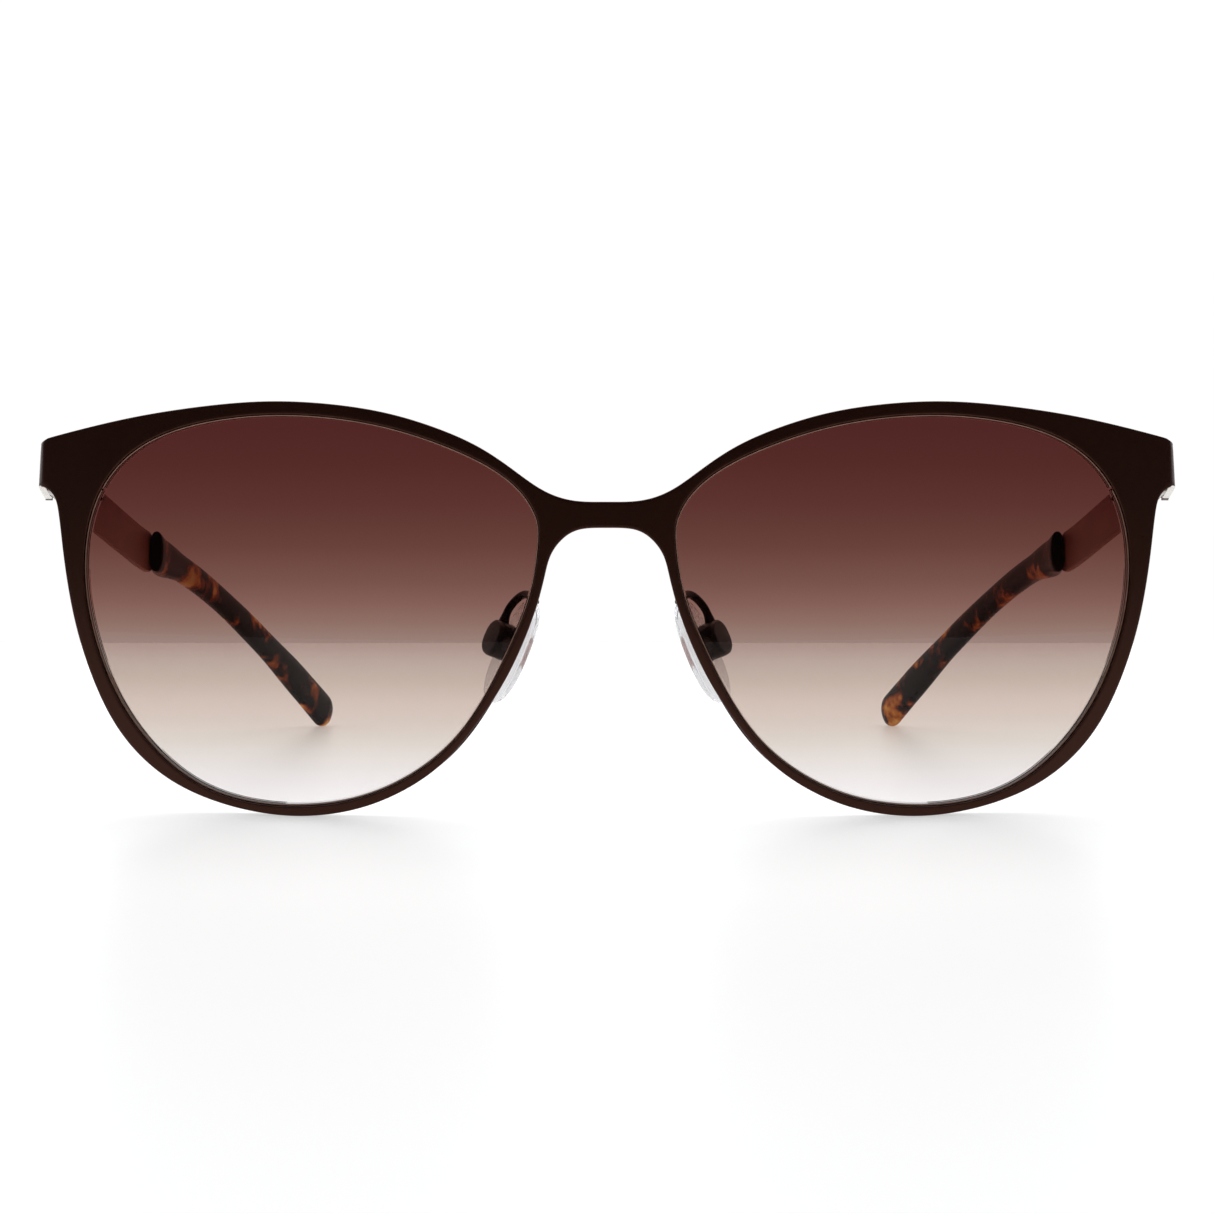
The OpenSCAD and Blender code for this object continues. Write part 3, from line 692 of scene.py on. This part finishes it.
class Paint:
    """A material and a short way to add nodes to it."""

    def __init__(self, name, **values):
        self.material = bpy.data.materials.new(name)
        self.material.use_nodes = True
        self.tree = self.material.node_tree
        self.shader = self.tree.nodes["Principled BSDF"]
        for key, value in values.items():
            socket = key.replace("_", " ").title().replace("Ior", "IOR")
            self.shader.inputs[socket].default_value = value
        self.where = self.tree.nodes.new("ShaderNodeTexCoord").outputs["Object"]

    def node(self, kind, links=(), **settings):
        made = self.tree.nodes.new(kind)
        for key, value in settings.items():
            setattr(made, key, value)
        for key, value in dict(links).items():
            if isinstance(value, bpy.types.NodeSocket):
                self.tree.links.new(value, made.inputs[key])
            else:
                made.inputs[key].default_value = value
        return made

    def noise(self, scale, detail, roughness=0.5, stretch=None):
        where = self.where
        if stretch:
            where = self.node("ShaderNodeMapping", {"Vector": where, "Scale": stretch}).outputs[0]
        made = self.node("ShaderNodeTexNoise", {"Vector": where, "Scale": scale, "Detail": detail,
                                                "Roughness": roughness})
        return made.outputs["Fac"]

    def ramp(self, factor, stops):
        made = self.node("ShaderNodeValToRGB", {"Fac": factor})
        elements = made.color_ramp.elements
        while len(elements) < len(stops):
            elements.new(0.5)
        for element, (at, _) in zip(elements, stops):
            element.position = at
        for element, (_, colour) in zip(elements, stops):
            element.color = (*colour, 1)
        return made.outputs["Color"]

    def mix(self, factor, a, b):
        """Two colours mixed. Sockets 0, 6 and 7 are the factor and the colours, output 2 the result."""
        made = self.node("ShaderNodeMix", data_type="RGBA")
        for socket, value in zip((made.inputs[0], made.inputs[6], made.inputs[7]), (factor, a, b)):
            if isinstance(value, bpy.types.NodeSocket):
                self.tree.links.new(value, socket)
            else:
                socket.default_value = (*value, 1)
        return made.outputs[2]

    def math(self, operation, a, b):
        return self.node("ShaderNodeMath", {0: a, 1: b}, operation=operation).outputs[0]

    def span(self, value, low, high):
        made = self.node("ShaderNodeMapRange", {"Value": value, "To Min": low, "To Max": high})
        return made.outputs[0]

    def set(self, key, socket):
        self.tree.links.new(socket, self.shader.inputs[key])

    def bump(self, height, strength, distance):
        made = self.node("ShaderNodeBump", {"Height": height, "Strength": strength, "Distance": distance})
        self.set("Normal", made.outputs[0])


def grey(v):
    return (v, v, v)


def lacquer(name, colour, worn_and_highlight, wear_and_highlight_amount, roughness, patchy=1.0, gloss=0.5):
    """Satin lacquer on metal: faint mottling, fine orange peel, and edges rubbed towards the metal. On
    the eyewire's lip that lighter edge colour is also a painted highlight.
    """
    paint = Paint(name, roughness=roughness, specular_ior_level=gloss, specular_tint=(1, 0.45, 0.35, 1))
    cloud = paint.noise(220, detail=4)
    body = paint.ramp(cloud, [(0.3, tuple(0.92 * c for c in colour)),
                              (0.7, tuple(1.07 * c for c in colour))])
    edge = paint.node("ShaderNodeAttribute", attribute_name="edge").outputs["Fac"]
    rub = paint.ramp(paint.noise(900, detail=5), [(0.42, grey(1 - patchy)), (0.62, grey(1))])
    # how much of the worn colour each point takes: wear, and on the eyewire's lip a painted highlight as
    # well
    amount = paint.math("MULTIPLY", paint.math("MULTIPLY", edge, rub), wear_and_highlight_amount)
    paint.set("Base Color", paint.mix(amount, body, worn_and_highlight))
    scratch = paint.noise(1500, detail=3, stretch=(1, 1, 6))
    paint.set("Roughness", paint.span(scratch, roughness - 0.07, roughness + 0.09))
    paint.bump(paint.noise(2600, detail=3), 0.12, 0.00004)
    return paint.material


def bare_metal(name, colour, roughness, stretch):
    """Brushed or polished metal, with fine lines along one direction."""
    paint = Paint(name, metallic=1.0)
    lines = paint.noise(1400, detail=4, stretch=stretch)
    paint.set("Base Color", paint.ramp(lines, [(0.3, tuple(0.8 * c for c in colour)), (0.7, colour)]))
    paint.set("Roughness", paint.span(lines, roughness * 0.7, roughness * 1.4))
    paint.bump(lines, 0.1, 0.00002)
    return paint.material


def gradient_lens():
    """Brown tint that fades downwards. Light passes it twice, through both faces of the lens."""
    paint = Paint("gradient_tint", transmission_weight=1.0, roughness=0.0, ior=1.2)
    height = paint.node("ShaderNodeSeparateXYZ", {0: paint.where}).outputs["Z"]
    share = paint.math("DIVIDE", height, TINT_H)
    drift = paint.span(paint.noise(60, detail=2), -0.006, 0.006)
    paint.set("Base Color", paint.ramp(paint.math("ADD", share, drift), LENS_TINT))
    return paint.material


TINT_H = 0.05   # metres
# Share of that height, and the colour that light gets there
LENS_TINT = [(0.0, (0.84, 0.82, 0.82)), (0.09, (0.74, 0.7, 0.69)), (0.18, (0.62, 0.56, 0.51)),
             (0.23, (0.57, 0.48, 0.43)), (0.28, (0.53, 0.43, 0.38)), (0.33, (0.45, 0.36, 0.31)),
             (0.38, (0.39, 0.3, 0.26)), (0.42, (0.33, 0.23, 0.2)), (0.47, (0.28, 0.165, 0.135)),
             (0.52, (0.235, 0.117, 0.098)), (0.57, (0.19, 0.088, 0.072)),
             (0.66, (0.14, 0.054, 0.043)), (0.76, (0.11, 0.034, 0.029)), (0.86, (0.089, 0.024, 0.02)),
             (0.95, (0.08, 0.02, 0.018))]


def tortoiseshell():
    """Polished acetate: near-black brown with clouds of red, amber and gold. Its front face is painted
    near-black: painted shade.
    """
    paint = Paint("tortoiseshell", roughness=0.25, specular_ior_level=0.08)
    patches = paint.noise(120, detail=2, roughness=0.5, stretch=(-1, 1, 1))
    flecks = paint.noise(420, detail=3, roughness=0.6, stretch=(-1, 1, 1))
    field = paint.math("ADD", paint.math("MULTIPLY", patches, 0.7), paint.math("MULTIPLY", flecks, 0.3))
    painted_front_shade = paint.node("ShaderNodeAttribute", attribute_name="edge").outputs["Fac"]
    # painted shade: the weight on the tip's front face pulls its colour down into the near-black band
    field = paint.math("SUBTRACT", field, paint.math("MULTIPLY", painted_front_shade, 0.3))
    colour = paint.ramp(field, [(0.0, (0.003, 0.0015, 0.0012)), (0.5, (0.007, 0.003, 0.0025)),
                                (0.53, (0.06, 0.012, 0.006)), (0.56, (0.28, 0.06, 0.015)),
                                (0.6, (0.65, 0.22, 0.04)), (0.66, (0.85, 0.5, 0.14))])
    paint.set("Base Color", colour)
    paint.bump(paint.noise(90, detail=2), 0.05, 0.0002)
    return paint.material


def clear_plastic(name, tone, roughness, bump, ior, clear):
    """Moulded plastic with a faint haze. The share of it that is clear is given last."""
    paint = Paint(name, transmission_weight=clear, roughness=roughness, ior=ior)
    haze = paint.noise(140, detail=3)
    paint.set("Base Color", paint.ramp(haze, [(0.3, tuple(0.93 * c for c in tone)), (0.7, tone)]))
    paint.bump(paint.noise(160, detail=1), bump, 0.0001)
    return paint.material


FRONT_LACQUER = lacquer("front_lacquer_dark", (0.015, 0.0045, 0.0022), (0.08, 0.035, 0.025),
                        wear_and_highlight_amount=0.25, roughness=0.3)
# the eyewire's lip gets a light worn colour, nearly unbroken: wear and a painted highlight along the lip
EYEWIRE_LACQUER = lacquer("eyewire_lacquer_brown", (0.03, 0.012, 0.008), (0.42, 0.24, 0.18),
                          wear_and_highlight_amount=0.95, roughness=0.32, patchy=0.15, gloss=0.15)
TEMPLE_LACQUER = lacquer("temple_lacquer_rose", (0.36, 0.15, 0.115), (0.55, 0.36, 0.3),
                         wear_and_highlight_amount=0.5, roughness=0.36)
WIRE_LACQUER = lacquer("wire_lacquer_dark", (0.006, 0.003, 0.0025), (0.1, 0.06, 0.05),
                       wear_and_highlight_amount=0.3, roughness=0.3, gloss=0.2)
BARE_EDGE = bare_metal("bare_edge", (0.8, 0.76, 0.72), 0.28, (1, 4, 1))
HINGE_STEEL = bare_metal("hinge_steel_brushed", (0.52, 0.5, 0.48), 0.3, (1, 0.15, 1))
SCREW_STEEL = bare_metal("screw_steel_polished", (0.68, 0.67, 0.66), 0.16, (1, 1, 0.3))
DARK_SCREW = bare_metal("screw_steel_blackened", (0.05, 0.035, 0.032), 0.3, (1, 1, 0.3))
LENS = gradient_lens()
TORTOISE = tortoiseshell()
SILICONE = clear_plastic("pad_silicone_clear", (0.96, 0.955, 0.97), 0.05, 0.02, ior=1.12, clear=0.8)
CORE = clear_plastic("pad_core_clear", (0.78, 0.76, 0.75), 0.05, 0.05, ior=1.03, clear=0.95)

# --- The assembly -----------------------------------------------------------------------------------

# Node, body it rides on, record's material slot, builder, materials, and the angle that stays sharp
PIECES = [
    ("eyewire", "front", "eyewire_lacquer", eyewire, [EYEWIRE_LACQUER], 50),
    ("closing_screw", "front", "screw_steel", closing_screw, [SCREW_STEEL], 40),
    ("lens", "front", "lens_tint", lens, [LENS], 30),
    ("pad_arm", "front", "wire_lacquer", pad_arm, [WIRE_LACQUER], 50),
    ("pad_box", "front", "wire_lacquer", pad_box, [WIRE_LACQUER], 40),
    ("pad_screw", "front", "screw_steel", pad_screw, [DARK_SCREW], 40),
    ("pad_insert", "pad", "pad_core", pad_insert, [CORE], 40),
    ("nose_pad", "pad", "pad_silicone", nose_pad, [SILICONE], 60),
    ("front_hinge", "front", "hinge_steel", front_hinge, [HINGE_STEEL], 40),
    ("hinge_screw", "front", "screw_steel", hinge_screw, [SCREW_STEEL], 40),
    ("temple_hinge", "temple", "hinge_steel", temple_hinge, [HINGE_STEEL], 40),
    ("temple_bar", "temple", "temple_lacquer", temple_bar, [TEMPLE_LACQUER], 50),
    ("temple_tip", "temple", "tortoise_acetate", temple_tip, [TORTOISE], 60),
]


def assemble(node, body, shape, sign, paints, sharp):
    """The fine piece for a node of the CAD model, riding on its body."""
    piece = shape.object("fine_" + node, sign, paints, sharp)
    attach(piece, body)
    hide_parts(node)
    return piece


front = Shape()
plate(front)
assemble("front_plate", "front", front, 1, [FRONT_LACQUER, BARE_EDGE], 45)
for kind, body, slot, build, paints, sharp in PIECES:
    part = Shape()
    build(part)
    for side, sign in SIDES:
        rides = body if body == "front" else f"{body}_{side}"
        piece = assemble(f"{kind}_{side}", rides, part, sign, paints, sharp)

# --- Studio -------------------------------------------------------------------------------------------

# All in metres
FLOOR_START = -1.4
FLOOR_SEAM = -0.366     # the floor in front of this isn't seen in reflections
FLOOR_END = 0.407       # its far edge, seen through the lenses as a step in their tint
FLOOR_X = 1.6
BACKDROP_Y = 1.1
BACKDROP_X = 2
BACKDROP_Z = (-0.4, 1.6)
LAMP_AT = (0, 0.3, 0.9)
SIDE_LAMP_AT = (0.9, 0.15, 0.35)
SKY_SEEN = 1.0          # the sky's strength where it is seen straight or through a lens
SKY_LIGHT = 0.05        # and as a light
CAMERA_AT = (0, -0.35235, 0.0338)
CAMERA_DOWN = 1.664     # degrees that the camera looks down
FOCAL_LENGTH = 69.2     # in millimetres, for a sensor 36 mm wide


def floor_part(start, end, height):
    """Corners of the floor between two distances."""
    return [(-FLOOR_X, start, height), (FLOOR_X, start, height), (FLOOR_X, end, height),
            (-FLOOR_X, end, height)]


def panel(name, corners, material):
    """A flat panel of the studio."""
    mesh = bpy.data.meshes.new(name)
    mesh.from_pydata(corners, [], [list(range(len(corners)))])
    mesh.materials.append(material)
    made = bpy.data.objects.new(name, mesh)
    bpy.context.scene.collection.objects.link(made)
    return made


def pale(name, colour, roughness, own_light):
    """Plain pale surface with a little light of its own."""
    paint = Paint(name, roughness=roughness, emission_color=(1, 1, 1, 1), emission_strength=own_light)
    cloud = paint.noise(30, detail=3)
    paint.set("Base Color", paint.ramp(cloud, [(0.3, grey(colour * 0.99)), (0.7, grey(colour))]))
    return paint.material


def glow(name, strength):
    """A surface that only gives light."""
    material = bpy.data.materials.new(name)
    material.use_nodes = True
    shader = material.node_tree.nodes["Principled BSDF"]
    shader.inputs["Base Color"].default_value = (0, 0, 0, 1)
    shader.inputs["Emission Color"].default_value = (1, 1, 1, 1)
    shader.inputs["Emission Strength"].default_value = strength
    return material


def light(name, at, aim, size, power, colour=(1, 1, 1)):
    """A soft area light that isn't seen itself."""
    data = bpy.data.lights.new(name, "AREA")
    data.shape = "RECTANGLE"
    data.size, data.size_y = size
    data.energy = power
    data.color = colour
    lamp = bpy.data.objects.new(name, data)
    bpy.context.scene.collection.objects.link(lamp)
    lamp.location = at
    away = np.array(at) - np.array(aim)
    lamp.rotation_euler = (math.acos(away[2] / np.linalg.norm(away)), 0, math.atan2(away[0], -away[1]))
    lamp.visible_camera = False
    lamp.visible_transmission = False


ground = CAD_BOX[0].z
floor_paint = pale("floor_pale", 0.5, roughness=0.35, own_light=0.5)
panel("studio_floor", floor_part(FLOOR_SEAM, FLOOR_END, ground), floor_paint)
near_floor = panel("studio_floor_near", floor_part(FLOOR_START, FLOOR_SEAM, ground), floor_paint)
near_floor.visible_glossy = False
low, high = BACKDROP_Z
panel("studio_backdrop", [(-BACKDROP_X, BACKDROP_Y, low), (BACKDROP_X, BACKDROP_Y, low),
                          (BACKDROP_X, BACKDROP_Y, high), (-BACKDROP_X, BACKDROP_Y, high)],
      glow("backdrop_pale", 1.0))
light("overhead", LAMP_AT, aim=(0, 0.05, 0), size=(1.3, 1.1), power=10)
for side, sign in SIDES:
    light("side_" + side, (SIDE_LAMP_AT[0] * sign, *SIDE_LAMP_AT[1:]), aim=(0, 0, 0.03),
          size=(0.6, 0.5), power=2.5, colour=(0.75, 0.9, 1))

world = bpy.data.worlds.new("studio")
bpy.context.scene.world = world
world.use_nodes = True
sky = world.node_tree.nodes["Background"]
rays = world.node_tree.nodes.new("ShaderNodeLightPath")
seen = world.node_tree.nodes.new("ShaderNodeMath")
seen.operation = "MAXIMUM"
level = world.node_tree.nodes.new("ShaderNodeMapRange")
world.node_tree.links.new(rays.outputs["Is Camera Ray"], seen.inputs[0])
world.node_tree.links.new(rays.outputs["Is Transmission Ray"], seen.inputs[1])
world.node_tree.links.new(seen.outputs[0], level.inputs["Value"])
level.inputs["To Min"].default_value = SKY_LIGHT
level.inputs["To Max"].default_value = SKY_SEEN
sky.inputs["Color"].default_value = (1, 1, 1, 1)
world.node_tree.links.new(level.outputs[0], sky.inputs["Strength"])

camera_data = bpy.data.cameras.new("camera")
camera_data.lens = FOCAL_LENGTH
camera_data.sensor_width = 36
camera = bpy.data.objects.new("camera", camera_data)
bpy.context.scene.collection.objects.link(camera)
camera.location = CAMERA_AT
camera.rotation_euler = (math.radians(90 - CAMERA_DOWN), 0, 0)
bpy.context.scene.camera = camera
bpy.context.scene.view_settings.view_transform = "Standard"
